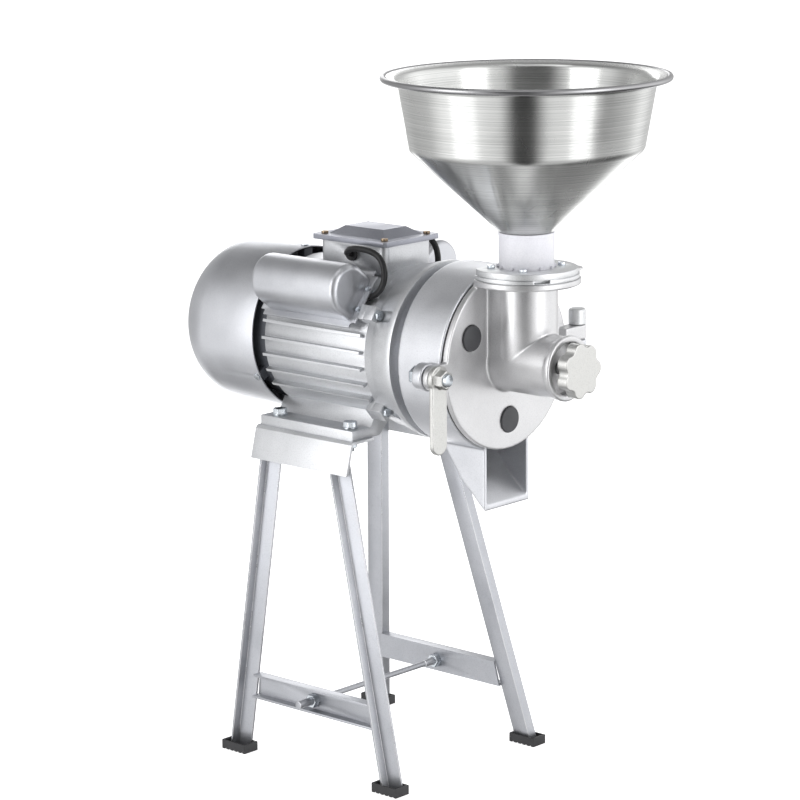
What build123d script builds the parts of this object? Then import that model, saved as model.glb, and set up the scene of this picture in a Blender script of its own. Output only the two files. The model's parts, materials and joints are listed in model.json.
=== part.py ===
from build123d import *
import os
from math import cos, pi, radians, sin, tan

# A direct-drive disc mill on two splayed leg frames.
# Everything is drawn about the shaft: X runs along it towards the feed cover,
# Z is up and z = 0 is the shaft's centre line. x = 0 is the middle of the motor
# feet. save() lifts the whole mill onto the floor and centres it.

# ---------------------------------------------------------------- overall
shaft_height = 441.0            # shaft centre line above the floor
foot_height = 90.0              # shaft centre line above the motor's feet
fit_gap = 0.05                  # radial clearance of a turning or sliding fit
body_gap = 0.5                  # air between pieces that move past each other
wall = 4.0                      # cast wall of the mill

# ---------------------------------------------------------------- motor
barrel_r, barrel_bore = 80.0, 72.0
barrel_x0, barrel_x1 = -60.0, 84.0
fin_r, fin_thick = 86.0, 3.0
fin_angles = [166, 178, 190, 202, 214]
foot_half_x, foot_half_y = 65.0, 83.0
foot_bolt_x, foot_bolt_y = 50.0, 70.0
foot_plate = 10.0
foot_hole_r = 4.5
foot_boss_r = 12.0
bolt_r = 4.0

core_x0, core_x1 = -40.0, 50.0
core_bore, air_gap = 40.0, 0.4
winding_r0, winding_r1, winding_long = 45.0, 67.0, 15.0

shaft_core_r, shaft_r, shaft_nose_r = 14.0, 12.5, 10.0
shaft_tail_x, shaft_tip_x = -116.0, 234.0
bearing_or, bearing_wide = 26.0, 15.0
rear_bearing_x, front_bearing_x = -76.0, 101.0

rear_shield_x = -84.0
front_shield_x = 124.0
front_shield_r0, front_shield_r1 = 84.0, 91.0
shield_wall = 7.0
lug_angles = [151, 29, 221, 319]
lug_r, lug_wide, lug_long, lug_root = 88.0, 15.0, 12.0, 7.0

cowl_r, cowl_sheet = 86.0, 1.5
cowl_screw_head = 1.5            # low heads, so that a straight cable passes over them to the gland
cowl_x0, cowl_x1, cowl_round = -73.0, -147.0, 52.0
fan_r, fan_x0, fan_x1, fan_blades = 72.0, -138.0, -104.0, 7

# ---------------------------------------------------------------- terminal box
box_x0, box_x1, box_half_y = -22.0, 69.0, 36.0
box_z0, box_z1 = 74.0, 103.0
box_wall = 3.0
lid_over, lid_plate, lid_crown = 6.0, 5.0, 8.0

# ---------------------------------------------------------------- capacitors
cap_angle = 142.0
cap_base, cap_round, cap_centre = 88.0, 26.0, 20.0
cap_sheet, cap_lip = 2.0, 7.0
cap_near_x = (-50.0, 68.0)
cap_far_x = (-60.0, 40.0)
cap_pad_x0, cap_pad_ends = -38.0, {142.0: 58.0, 38.0: 36.0}
capacitor_r = 20.0

# ---------------------------------------------------------------- mill drum
drum_x0, drum_x1, drum_r, drum_wall = 137.0, 193.0, 93.0, 6.0
drum_back = 8.0
spigot_r, spigot_bore = 74.0, 54.0
seal_or = 19.0
chute_y, chute_half = 8.0, 34.5
chute_floor = [(drum_x0, -drum_r + 3), (drum_x0 + 24, -drum_r - 31), (drum_x1, -drum_r - 61)]

# ---------------------------------------------------------------- discs and auger
disc_r, disc_thick = 70.0, 11.0
disc_eye_r, disc_gap = 30.0, 2.5
carrier_x, carrier_thick = 157.0, 9.0
vane_r = 84.0
auger_r, auger_hub_r, auger_pitch = 22.0, 14.0, 26.0
auger_x1 = 228.0

# ---------------------------------------------------------------- cover and feed
cover_x0, cover_x1, cover_r = 194.0, 201.0, drum_r - 1.6
feed_x = 225.5                  # centre of the feed pipe, the gate and the hopper
pipe_r, pipe_bore = 31.0, 26.0
nose_r, nose_bore, nose_x = 31.3, 26.0, 280.0
nose_wall_x, nose_wall = 256.0, 12.0
flange_z, flange_thick, flange_r = 79.5, 6.5, 54.0
plug_r, plug_pcr = 13.0, 62.0
plug_angles = [152, 272, 32]

# ---------------------------------------------------------------- gate, neck, hopper
gate_thick, gate_half, gate_reach = 2.0, 28.0, 70.0
flange_screw_r, flange_screw_angles = 36.0, [55, 125, 235, 305]
guide_thick, top_plate_thick, top_plate_r = 4.0, 6.0, 51.0
neck_r, neck_bore, neck_top = 27.5, 24.0, 131.0
bowl_z0, bowl_z1 = 216.0, 283.0
bowl_r0, bowl_r1, rim_r, rim_roll = 116.0, 128.0, 140.0, 3.0
hopper_sheet = 1.5

# ---------------------------------------------------------------- clamp and hinge
clamp_y, clamp_z = -drum_r - 15.0, -3.0
clamp_lug = 12.0                # how far the drum's clamp lug reaches back from its rim
clamp_bolt_r, clamp_hub_r, ear_r = 6.0, 14.0, 12.5
lever_thick, lever_wide, lever_drop = 5.0, 21.0, 76.0
hinge_x, hinge_y = 203.0, drum_r + 14.0
hinge_pin_r, knuckle_r = 5.0, 9.0
drum_lug_half, cover_lug_top = 4.5, 20.0

# ---------------------------------------------------------------- adjuster
spindle_r, knob_r, knob_lobes = 6.0, 27.5, 7
knob_x0, knob_x1 = 286.0, 298.0
pin_r, pin_tip_x = 5.0, 238.0

# ---------------------------------------------------------------- stand
foot_centre_x = 27.0            # the legs reach further out under the mill
foot_spread_x, foot_spread_y = 108.0, 108.0
angle_face, angle_flange, angle_thick = 21.0, 12.0, 2.5
near_leg_tops = (-60.5, 31.0)   # corner line of each near leg under its bracket
near_leg_feet = (-89.5, 127.5)
far_leg_tops = (-41.0, 53.0)
far_leg_feet = (-68.5, 144.0)
leg_top_y, leg_foot_y, leg_tuck = 75.0, 102.0, 12.0
bracket_half_x, bracket_in, bracket_out, bracket_thick = 68.0, 54.0, 88.0, 3.0
apron_drop, apron_lean = 34.0, 8.0
cross_low, cross_high, cross_depth = 60.0, 86.0, 12.0
tie_x, tie_z, tie_r, tie_end_r, tie_half = 19.0, 72.0, 3.0, 4.0, 121.0
pad_long, pad_wide, pad_high, pad_floor = 34.0, 20.0, 10.0, 4.0

lead_r = 3.2
near_lead = [
    (24, -34, 93), (24, -48, 93), (46, -59, 105), (84, -58, 101), (93, -60, 75), (78, -63.6, 54.7), (58, -63.6, 54.7),
]
far_lead = [
    (24, 34, 93), (24, 47, 93), (40, 58, 104), (60, 54, 92), (56, 60, 66), (50, 63.6, 54.7), (36, 63.6, 54.7),
]

# ================================================================ helpers
floor_z = -shaft_height
feet_z = -foot_height
mill_back = cowl_x1 - cowl_round
mill_front = feed_x + rim_r + rim_roll
datum = Pos(-(mill_back + mill_front) / 2, 0, shaft_height)
nodes = {}


def save(name, *solids):
    nodes[name] = datum * Compound(children=[s for part in solids for s in part.solids()])


def block(x0, x1, y0, y1, z0, z1):
    centre = Pos((x0 + x1) / 2, (y0 + y1) / 2, (z0 + z1) / 2)
    return centre * Box(abs(x1 - x0), abs(y1 - y0), abs(z1 - z0))


def rod_x(r, x0, x1, y=0.0, z=0.0):
    return Pos((x0 + x1) / 2, y, z) * Rot(0, 90, 0) * Cylinder(r, abs(x1 - x0))


def rod_y(r, y0, y1, x=0.0, z=0.0):
    return Pos(x, (y0 + y1) / 2, z) * Rot(90, 0, 0) * Cylinder(r, abs(y1 - y0))


def rod_z(r, z0, z1, x=0.0, y=0.0):
    return Pos(x, y, (z0 + z1) / 2) * Cylinder(r, abs(z1 - z0))


def ring_x(outer, inner, x0, x1, y=0.0, z=0.0):
    return rod_x(outer, x0, x1, y, z) - rod_x(inner, x0, x1, y, z)


def ring_z(outer, inner, z0, z1, x=0.0, y=0.0):
    return rod_z(outer, z0, z1, x, y) - rod_z(inner, z0, z1, x, y)


def turned(points):
    """Turn a profile of (x, radius) points about the shaft line."""
    profile = Polyline(*[(x, 0, r) for x, r in points], close=True)
    return revolve(make_face(profile), Axis.X)


def spun(points, x):
    """Spin a profile of (radius, z) points about an upright line at x."""
    profile = Polyline(*[(r, 0, z) for r, z in points], close=True)
    return Pos(x, 0, 0) * revolve(make_face(profile), Axis.Z)


def plate_x(points, x0, x1):
    """Push a (y, z) outline from x0 to x1."""
    outline = make_face(Polyline(*[(x0, y, z) for y, z in points], close=True))
    return extrude(outline, x1 - x0, dir=(1, 0, 0))


def plate_y(points, y0, y1):
    """Push an (x, z) outline from y0 to y1."""
    outline = make_face(Polyline(*[(x, y0, z) for x, z in points], close=True))
    return extrude(outline, y1 - y0, dir=(0, 1, 0))


def hex_x(across, x0, x1, y=0.0, z=0.0):
    size = across / 2 / cos(pi / 6)
    return Pos(x0, y, z) * Rot(0, 90, 0) * extrude(RegularPolygon(size, 6), x1 - x0)


def hex_y(across, y0, y1, x=0.0, z=0.0):
    size = across / 2 / cos(pi / 6)
    return Pos(x, y0, z) * Rot(-90, 0, 0) * extrude(RegularPolygon(size, 6), y1 - y0)


def hex_z(across, z0, z1, x=0.0, y=0.0):
    size = across / 2 / cos(pi / 6)
    return Pos(x, y, z0) * extrude(RegularPolygon(size, 6), z1 - z0)


def around(angle):
    """Turn about the shaft so that local +Y points along the angle from +Y towards +Z."""
    return Rot(angle, 0, 0)


def polar(r, angle):
    return r * cos(radians(angle)), r * sin(radians(angle))


# ================================================================ motor
def motor_foot(side):
    """One cast foot: a ledge on a hollow underside, with a web up to the barrel."""
    ledge_z = feet_z + foot_plate
    outline = [
        (foot_half_y, feet_z), (foot_half_y, ledge_z), (foot_half_y - 27, ledge_z),
        (42, ledge_z + 24), (20, ledge_z + 12), (42, feet_z),
    ]
    foot = plate_x([(side * y, z) for y, z in outline], -foot_half_x, foot_half_x)
    y_out, y_in = side * (foot_half_y - 5), side * (foot_half_y - 24)
    foot -= block(-foot_half_x + 6, foot_half_x - 6, y_out, y_in, feet_z, feet_z + 5)
    for x in (-foot_bolt_x, foot_bolt_x):
        foot += rod_z(foot_boss_r, feet_z, ledge_z, x, side * foot_bolt_y)
    return foot


def foot_hole(x, side):
    return rod_z(foot_hole_r, feet_z - 20, feet_z + 20, x, side * foot_bolt_y)


frame_body = rod_x(barrel_r, barrel_x0, barrel_x1)
for angle in fin_angles:
    for turn in (angle, 180 - angle):
        fin = block(barrel_x0 + 1, barrel_x1 - 6, barrel_r - 2, fin_r, -fin_thick / 2, fin_thick / 2)
        frame_body += around(turn) * fin
for angle in (cap_angle, 180 - cap_angle):
    pad_end = cap_pad_ends[angle]
    frame_body += around(angle) * block(cap_pad_x0, pad_end, barrel_r - 4, cap_base, -13, 13)
for angle in lug_angles:
    lug = block(barrel_x1 - lug_root, barrel_x1, barrel_r - 6, lug_r + 6, -lug_wide / 2, lug_wide / 2)
    frame_body += around(angle) * lug
frame_body += motor_foot(-1) + motor_foot(1)
frame_body -= rod_x(barrel_bore, barrel_x0, barrel_x1)
frame_body -= rod_x(barrel_r + body_gap, rear_shield_x, barrel_x0)
box_floor = barrel_r + box_wall
wire_hole = rod_z(12, 60, box_floor + 10, (box_x0 + box_x1) / 2, 0)
frame_body -= wire_hole
for side in (-1, 1):
    for x in (-foot_bolt_x, foot_bolt_x):
        frame_body -= foot_hole(x, side)
tie_bolt_at = [polar(lug_r, angle) for angle in lug_angles]
for y, z in tie_bolt_at:
    frame_body -= rod_x(2.5, barrel_x1 - lug_root, barrel_x1, y, z)
save("stator_frame", frame_body)

stator_core = ring_x(barrel_bore, core_bore, core_x0, core_x1)
for k in range(24):
    slot = block(core_x0, core_x1, core_bore - 1, core_bore + 14, -1.6, 1.6)
    stator_core -= around(15 * k) * slot
save("stator_core", stator_core)
save("stator_winding", ring_x(winding_r1, winding_r0, core_x0 - winding_long, core_x0),
     ring_x(winding_r1, winding_r0, core_x1, core_x1 + winding_long))

shaft = turned([
    (shaft_tail_x, 0), (shaft_tail_x, shaft_r - 2), (shaft_tail_x + 2, shaft_r),
    (core_x0 - 12, shaft_r), (core_x0 - 12, shaft_core_r), (core_x1 + 12, shaft_core_r),
    (core_x1 + 12, shaft_r), (carrier_x + carrier_thick + disc_thick, shaft_r),
    (carrier_x + carrier_thick + disc_thick, shaft_nose_r),
    (shaft_tip_x - 2, shaft_nose_r), (shaft_tip_x, shaft_nose_r - 2), (shaft_tip_x, 0),
])
save("motor_shaft", shaft)
rotor_core = ring_x(core_bore - air_gap, shaft_core_r, core_x0, core_x1)
for x0, x1 in ((core_x0 - 6, core_x0), (core_x1, core_x1 + 6)):
    rotor_core += ring_x(core_bore - 3, core_bore - 13, x0, x1)
save("rotor_core", rotor_core)


def ball_bearing(x0):
    """Deep-groove bearing: outer ring, inner ring and eight balls."""
    mid, middle_r = x0 + bearing_wide / 2, (bearing_or + shaft_r) / 2
    ball_r = 3.6
    track = Torus(middle_r, ball_r + 0.1)
    track = Pos(mid, 0, 0) * Rot(0, 90, 0) * track
    outer = ring_x(bearing_or, middle_r + 2, x0, x0 + bearing_wide) - track
    inner = ring_x(middle_r - 2, shaft_r + fit_gap, x0, x0 + bearing_wide) - track
    parts = [outer, inner]
    for k in range(8):
        y, z = polar(middle_r, 45 * k)
        parts.append(Pos(mid, y, z) * Sphere(ball_r))
    return parts


save("shaft_bearings", *ball_bearing(rear_bearing_x), *ball_bearing(front_bearing_x))

rear_ring_r = barrel_r - 4
rear_shield = ring_x(rear_ring_r, barrel_bore - 10, rear_shield_x, barrel_x0)
rear_shield += rod_x(rear_ring_r - 3, rear_shield_x, rear_shield_x + shield_wall)
rear_shield += rod_x(bearing_or + 8, rear_shield_x, rear_bearing_x + bearing_wide)
rear_shield -= rod_x(bearing_or, rear_bearing_x, barrel_x0)
rear_shield -= rod_x(shaft_r + 2, rear_shield_x - 1, rear_bearing_x + 1)
cowl_screw_angles = [210, 90, 330]
cowl_screw_x = cowl_x0 - 5
cowl_inner = cowl_r - cowl_sheet
for angle in cowl_screw_angles:
    rear_shield += around(angle) * block(cowl_screw_x - 4, cowl_screw_x + 5, rear_ring_r - 6, cowl_inner - 1, -6, 6)
    rear_shield -= around(angle) * rod_y(2, cowl_r - 6, cowl_r + 2, cowl_screw_x, 0)
save("rear_end_shield", rear_shield)

front_shield = turned([
    (barrel_x1, barrel_bore), (barrel_x1, front_shield_r0), (barrel_x1 + 8, front_shield_r0),
    (barrel_x1 + 10, front_shield_r0 + 1), (front_shield_x - 6, front_shield_r1),
    (front_shield_x, front_shield_r1), (front_shield_x, shaft_r + 3),
    (front_bearing_x + bearing_wide, shaft_r + 3), (front_bearing_x + bearing_wide, bearing_or),
    (front_bearing_x, bearing_or), (front_bearing_x, bearing_or + 7),
    (front_shield_x - 9, bearing_or + 12), (front_shield_x - 9, front_shield_r1 - 11),
])
for angle in lug_angles:
    lug = block(barrel_x1, barrel_x1 + lug_long, barrel_bore + 6, lug_r + 6, -lug_wide / 2, lug_wide / 2)
    front_shield += around(angle) * lug
for y, z in tie_bolt_at:
    front_shield -= rod_x(2.6, barrel_x1, barrel_x1 + lug_long, y, z)
    front_shield -= rod_x(6, barrel_x1 + lug_long, front_shield_x - 8, y, z)
mill_bolt_r, mill_bolt_pcr, mill_bolt_angles = 4.0, 64.0, [45, 135, 225, 315]
mill_bolt_at = [polar(mill_bolt_pcr, angle) for angle in mill_bolt_angles]
for y, z in mill_bolt_at:
    front_shield -= rod_x(mill_bolt_r, front_shield_x - 9, front_shield_x, y, z)
save("front_end_shield", front_shield)

tie_bolts = []
for y, z in tie_bolt_at:
    head = hex_x(9, barrel_x1 + lug_long, barrel_x1 + lug_long + 4, y, z)
    tie_bolts.append(head + rod_x(2.5, barrel_x1 - lug_root, barrel_x1 + lug_long + 2, y, z))
save("end_shield_bolts", *tie_bolts)

# the fan, its cowl and the cowl's screws
fan = ring_x(20, shaft_r, fan_x0 + 22, fan_x1)
fan += ring_x(fan_r - 6, shaft_r, fan_x1 - 4, fan_x1)
for k in range(fan_blades):
    fan += around(360 * k / fan_blades) * block(fan_x0, fan_x1, 17, fan_r, -1.2, 1.2)
fan -= rod_x(shaft_r, fan_x0, fan_x1)
save("cooling_fan", fan)


def cowl_form(sheet):
    """The cowl's outer or inner form: a cylinder that rounds into a flat back."""
    r, back = cowl_r - sheet, cowl_round - sheet
    edge = cowl_r - cowl_round
    outline = Line((cowl_x0, 0, 0), (cowl_x0, 0, r)) + Line((cowl_x0, 0, r), (cowl_x1, 0, r))
    middle = (cowl_x1 - back * sin(pi / 4), 0, edge + back * cos(pi / 4))
    outline += ThreePointArc((cowl_x1, 0, r), middle, (cowl_x1 - back, 0, edge))
    outline += Line((cowl_x1 - back, 0, edge), (cowl_x1 - back, 0, 0))
    outline += Line((cowl_x1 - back, 0, 0), (cowl_x0, 0, 0))
    return revolve(make_face(outline), Axis.X)


cowl = cowl_form(0) - cowl_form(cowl_sheet)
for r in (14, 23, 32, 41):
    slots = ring_x(r + 2, r - 2, mill_back - 1, mill_back + cowl_sheet + 1)
    for k in range(6):
        slots -= around(60 * k) * block(mill_back - 1, mill_back + cowl_sheet + 1, 0, 50, -2.5, 2.5)
    cowl -= slots
for angle in cowl_screw_angles:
    cowl -= around(angle) * rod_y(2.2, cowl_inner - 1, cowl_r + 1, cowl_screw_x, 0)
save("fan_cowl", cowl)
cowl_screws = []
for angle in cowl_screw_angles:
    screw = rod_y(2, cowl_r - 6, cowl_r, cowl_screw_x, 0)
    screw += rod_y(4, cowl_r, cowl_r + cowl_screw_head, cowl_screw_x, 0)
    cowl_screws.append(around(angle) * screw)
save("cowl_screws", *cowl_screws)

# ================================================================ terminal box
box_outer = fillet(block(box_x0, box_x1, -box_half_y, box_half_y, box_z0, box_z1).edges().filter_by(Axis.Z), 8)
box_inner = block(box_x0 + box_wall, box_x1 - box_wall, -box_half_y + box_wall, box_half_y - box_wall,
                  box_floor, box_z1)
screw_inset = 4.0
lid_screw_at = [(x, y) for x in (box_x0 + screw_inset, box_x1 - screw_inset)
                for y in (-box_half_y + screw_inset, box_half_y - screw_inset)]
terminal_box = box_outer - fillet(box_inner.edges().filter_by(Axis.Z), 5)
for x, y in lid_screw_at:
    terminal_box += rod_z(5, box_floor, box_z1, x, y) & box_outer
    terminal_box -= rod_z(1.9, box_z1 - 14, box_z1, x, y)
terminal_box -= wire_hole + rod_x(barrel_r, box_x0 - 1, box_x1 + 1)
gland_z, gland_y, gland_r = 92.0, 0.0, 8.0
terminal_box -= rod_x(gland_r, box_x0 - 1, box_x0 + box_wall + 1, gland_y, gland_z)
leads = {"near": near_lead, "far": far_lead}
grommet_r = 6.0
for route in leads.values():
    x, y, z = route[0]
    side = 1 if y > 0 else -1
    terminal_box -= rod_y(grommet_r, y - 6, y + 6, x, z)
save("terminal_box", terminal_box)

grommets = []
for route in leads.values():
    x, y, z = route[0]
    side = 1 if y > 0 else -1
    y0, y1 = side * (box_half_y - box_wall - 1), side * (box_half_y + 3)
    sleeve = rod_y(grommet_r, y0, y1, x, z) + rod_y(grommet_r + 1.5, side * box_half_y, y1, x, z)
    grommets.append(sleeve - rod_y(lead_r, side * 20, side * 60, x, z))
save("lead_grommets", *grommets)

gland = hex_x(20, box_x0 - 5, box_x0, gland_y, gland_z) + rod_x(gland_r, box_x0, box_x0 + 8, gland_y, gland_z)
gland += rod_x(8.5, box_x0 - 16, box_x0 - 5, gland_y, gland_z)
gland -= rod_x(4.5, box_x0 - 17, box_x0 + 9, gland_y, gland_z)
save("cable_gland", gland)

lid_x0, lid_x1, lid_half = box_x0 - lid_over, box_x1 + lid_over, box_half_y + lid_over
gasket_thick = 1.0
lid_z0 = box_z1 + gasket_thick
lid_z1 = lid_z0 + lid_plate
seal = block(box_x0, box_x1, -box_half_y, box_half_y, box_z1, lid_z0)
seal = fillet(seal.edges().filter_by(Axis.Z), 8)
seal -= block(box_x0 + box_wall, box_x1 - box_wall, -box_half_y + 9, box_half_y - 9, box_z1, lid_z0)
seal -= block(box_x0 + 9, box_x1 - 9, -box_half_y + box_wall, box_half_y - box_wall, box_z1, lid_z0)
for x, y in lid_screw_at:
    seal -= rod_z(1.9, box_z1, lid_z0, x, y)
save("lid_gasket", seal)
lid = block(lid_x0, lid_x1, -lid_half, lid_half, lid_z0, lid_z1)
lid = chamfer(lid.edges().filter_by(Axis.Z), 3)
crown_inset, crown_slope = 13.0, 24.0
crown_x, crown_y = (lid_x1 - lid_x0) / 2 - crown_inset, lid_half - crown_inset
crown_low = Plane.XY.offset(lid_z1) * Rectangle(2 * crown_x, 2 * crown_y)
crown_high = Plane.XY.offset(lid_z1 + lid_crown) * Rectangle(2 * crown_x - crown_slope, 2 * crown_y - crown_slope)
lid += Pos((lid_x0 + lid_x1) / 2, 0, 0) * loft([crown_low.faces()[0], crown_high.faces()[0]])
lid -= block(box_x0 + 14, box_x1 - 14, -box_half_y + 12, box_half_y - 12, lid_z0, lid_z1 + 2)
lid_screws = []
for x, y in lid_screw_at:
    lid -= rod_z(1.9, lid_z0, lid_z1, x, y)
    screw = rod_z(1.9, box_z1 - 12, lid_z1, x, y) + rod_z(3.6, lid_z1, lid_z1 + 2.5, x, y)
    lid_screws.append(screw - block(x - 4, x + 4, y - 0.5, y + 0.5, lid_z1 + 1.5, lid_z1 + 3))
save("terminal_box_lid", lid)
save("lid_screws", *lid_screws)

board = block(4, 54, -18, 18, box_floor, box_floor + 8)
board -= wire_hole
for x in (10, 48):
    for y in (-11, 0, 11):
        board += rod_z(2, box_floor + 8, box_floor + 15, x, y)
save("terminal_block", board)

# ================================================================ capacitors
def cap_outline(grow):
    """D-shaped section in the plane square to the shaft, at the upper side of the barrel."""
    low, high, r = cap_base, cap_base + cap_centre, cap_round + grow
    outline = Line((0, low, -r), (0, low, r)) + Line((0, low, r), (0, high, r))
    outline += ThreePointArc((0, high, r), (0, high + r, 0), (0, high, -r))
    outline += Line((0, high, -r), (0, low, -r))
    return make_face(outline)


def capacitor_cover(x0, x1, angle):
    outer = Pos(x0, 0, 0) * extrude(cap_outline(0), x1 - x0, dir=(1, 0, 0))
    inner = Pos(x0 + cap_sheet, 0, 0) * extrude(cap_outline(-cap_sheet), x1 - x0 - 2 * cap_sheet, dir=(1, 0, 0))
    lip_r = cap_round + cap_lip
    lip = block(x0 - cap_lip, x1 + cap_lip, cap_base, cap_base + cap_sheet, -lip_r, lip_r)
    lip = fillet(lip.edges().filter_by(Axis.Y), 6)
    cover = outer + lip - inner
    return around(angle) * cover


cover_ends = {"near": (cap_near_x, cap_angle, near_lead), "far": (cap_far_x, 180 - cap_angle, far_lead)}
cap_screws, capacitors = [], []
for side, ((x0, x1), angle, route) in cover_ends.items():
    shell = capacitor_cover(x0, x1, angle)
    shell -= rod_x(lead_r + 2, x1 + 1, x1 + cap_lip + 1, *route[-1][1:])
    for sx in (x0 - cap_lip / 2 - 0.4, x1 + cap_lip / 2 + 0.4):
        for sz in (-12, 12):
            shell -= around(angle) * rod_y(1.8, cap_base - 1, cap_base + cap_sheet + 1, sx, sz)
            screw = rod_y(1.7, cap_base - 4, cap_base + cap_sheet, sx, sz)
            screw += rod_y(3, cap_base + cap_sheet, cap_base + cap_sheet + 2, sx, sz)
            cap_screws.append(around(angle) * screw)
    save(f"{side}_capacitor_cover", shell)
    can = rod_x(capacitor_r, x0 + 6, x1 - 14)
    middle = cap_base + cap_centre
    capacitors.append(around(angle) * Pos(0, middle, 0) * can)
save("capacitors", *capacitors)
save("capacitor_cover_screws", *cap_screws)


def lead_tube(route):
    """A round tube on straight runs joined by tangent arcs as large as the runs allow."""
    points = [Vector(*p) for p in route]
    radii = []
    for before, here, after in zip(points, points[1:], points[2:]):
        run = min((here - before).length, (after - here).length)
        half_turn = radians((here - before).get_angle(after - here)) / 2
        radii.append(0.45 * run / tan(half_turn))
    path = FilletPolyline(*points, radius=radii)
    print("lead bend radii", [round(r, 1) for r in radii], "length", round(path.length, 1))
    start = Plane(origin=path @ 0, z_dir=path % 0)
    return sweep(start * Circle(lead_r), path=path)


for side, route in leads.items():
    save(f"{side}_capacitor_lead", lead_tube(route))


# ================================================================ mill housing
drum = rod_x(drum_r, drum_x0, drum_x1) + ring_x(spigot_r, spigot_bore, front_shield_x, drum_x0)
chute_out = [(drum_x0, -60)] + chute_floor + [(drum_x1, -60)]
drum += plate_y(chute_out, chute_y - chute_half, chute_y + chute_half)
drum -= rod_x(drum_r - drum_wall, drum_x0 + drum_back, drum_x1)
chute_in = [(drum_x0 + drum_back, -60), (drum_x0 + drum_back, chute_floor[0][1] - drum_back)]
chute_in += [(x + wall * 0.4, z + wall * 1.2) for x, z in chute_floor[1:]]
chute_in += [(drum_x1 + 1, chute_floor[-1][1] + wall * 0.7), (drum_x1 + 1, -60)]
chute_in_y = (chute_y - chute_half + wall, chute_y + chute_half - wall)
drum -= plate_y(chute_in, *chute_in_y)
drum += rod_x(clamp_hub_r, drum_x1 - clamp_lug, drum_x1, clamp_y, clamp_z)
drum += block(drum_x1 - clamp_lug, drum_x1, -drum_r - 10, -drum_r + 5, clamp_z - 10, clamp_z + 10)
drum -= rod_x(clamp_bolt_r, drum_x1 - clamp_lug - 1, drum_x1 + 1, clamp_y, clamp_z)
hinge_arm = [
    (hinge_x - 20, drum_r - 5), (drum_x1, drum_r - 5), (drum_x1, hinge_y - knuckle_r),
    (hinge_x, hinge_y - knuckle_r), (hinge_x, hinge_y + knuckle_r), (hinge_x - 12, hinge_y + knuckle_r),
]
arm_face = make_face(Polyline(*[(x, y, -drum_lug_half) for x, y in hinge_arm], close=True))
drum += extrude(arm_face, 2 * drum_lug_half, dir=(0, 0, 1))
drum += rod_z(knuckle_r, -drum_lug_half, drum_lug_half, hinge_x, hinge_y)
drum -= rod_z(hinge_pin_r, -40, 40, hinge_x, hinge_y)
drum -= rod_x(seal_or, drum_x0 - 1, drum_x0 + drum_back + 1)
for y, z in mill_bolt_at:
    drum -= rod_x(mill_bolt_r, front_shield_x, drum_x0 + drum_back + 1, y, z)
save("mill_housing", drum)
save("shaft_seal", ring_x(seal_or, shaft_r + fit_gap, drum_x0, drum_x0 + drum_back))
mill_bolts = []
for y, z in mill_bolt_at:
    bolt_tail = rod_x(mill_bolt_r, front_shield_x - 9, drum_x0 + drum_back, y, z)
    mill_bolts.append(bolt_tail + hex_x(11, drum_x0 + drum_back, drum_x0 + drum_back + 5, y, z))
save("housing_bolts", *mill_bolts)

# ================================================================ discs and auger
carrier = ring_x(disc_r - 6, shaft_r, carrier_x, carrier_x + carrier_thick)
for k in range(4):
    carrier += around(90 * k) * block(carrier_x, carrier_x + carrier_thick, disc_r - 12, vane_r, -3, 3)
save("disc_carrier", carrier)


def grooves(x0, x1, r0, r1):
    """Cutting grooves of a grinding disc, leaned over from the radius."""
    cuts = []
    for k in range(18):
        cut = block(x0, x1, r0, r1 + 2, -1.5, 1.5)
        cuts.append(around(20 * k) * Pos(0, 0, 9) * cut)
    return cuts


disc_x0 = carrier_x + carrier_thick
disc_x1 = disc_x0 + disc_thick
fixed_x0 = disc_x1 + disc_gap
disc_screw_at = [polar(44, angle) for angle in (0, 120, 240)]
spinning = ring_x(disc_r, shaft_r, disc_x0, disc_x1)
for cut in grooves(disc_x1 - 2.5, disc_x1 + 1, 34, disc_r):
    spinning -= cut
for y, z in disc_screw_at:
    spinning -= rod_x(3, disc_x0, disc_x1, y, z) + rod_x(5.5, disc_x1 - 5.5, disc_x1, y, z)
save("rotating_grinding_disc", spinning)
save("rotating_disc_screws", *[rod_x(3, disc_x0, disc_x1 - 5, y, z) + rod_x(5.3, disc_x1 - 5.3, disc_x1 - 3, y, z)
                               for y, z in disc_screw_at])
fixed = ring_x(disc_r, disc_eye_r, fixed_x0, cover_x0)
for cut in grooves(fixed_x0 - 1, fixed_x0 + 2.5, 34, disc_r):
    fixed -= cut
plug_at = [polar(plug_pcr, angle) for angle in plug_angles]
for y, z in plug_at:
    fixed -= rod_x(3, fixed_x0, cover_x0, y, z)
save("fixed_grinding_disc", fixed)
save("fixed_disc_screws", *[rod_x(3, fixed_x0 + 3, cover_x0 + 2, y, z) + rod_x(6, cover_x0 + 2, cover_x0 + 4, y, z)
                            for y, z in plug_at])

auger_x0 = disc_x1 + 1
auger = rod_x(auger_hub_r, auger_x0, auger_x1)
turn = Helix(auger_pitch, auger_x1 - auger_x0 - 6, auger_hub_r - 1)
blade = Plane(origin=turn @ 0, x_dir=(1, 0, 0), z_dir=turn % 0) * Rectangle(2 * (auger_r - auger_hub_r + 1), 3)
flight = sweep(blade, path=turn, is_frenet=True)
flight = Pos(auger_x0 + 3, 0, 0) * Rot(0, 90, 0) * flight
auger += flight & ring_x(auger_r, auger_hub_r - 1, auger_x0, auger_x1)
auger -= rod_x(shaft_nose_r, auger_x0 - 1, auger_x1 + 1)
save("feed_auger", auger)

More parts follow.
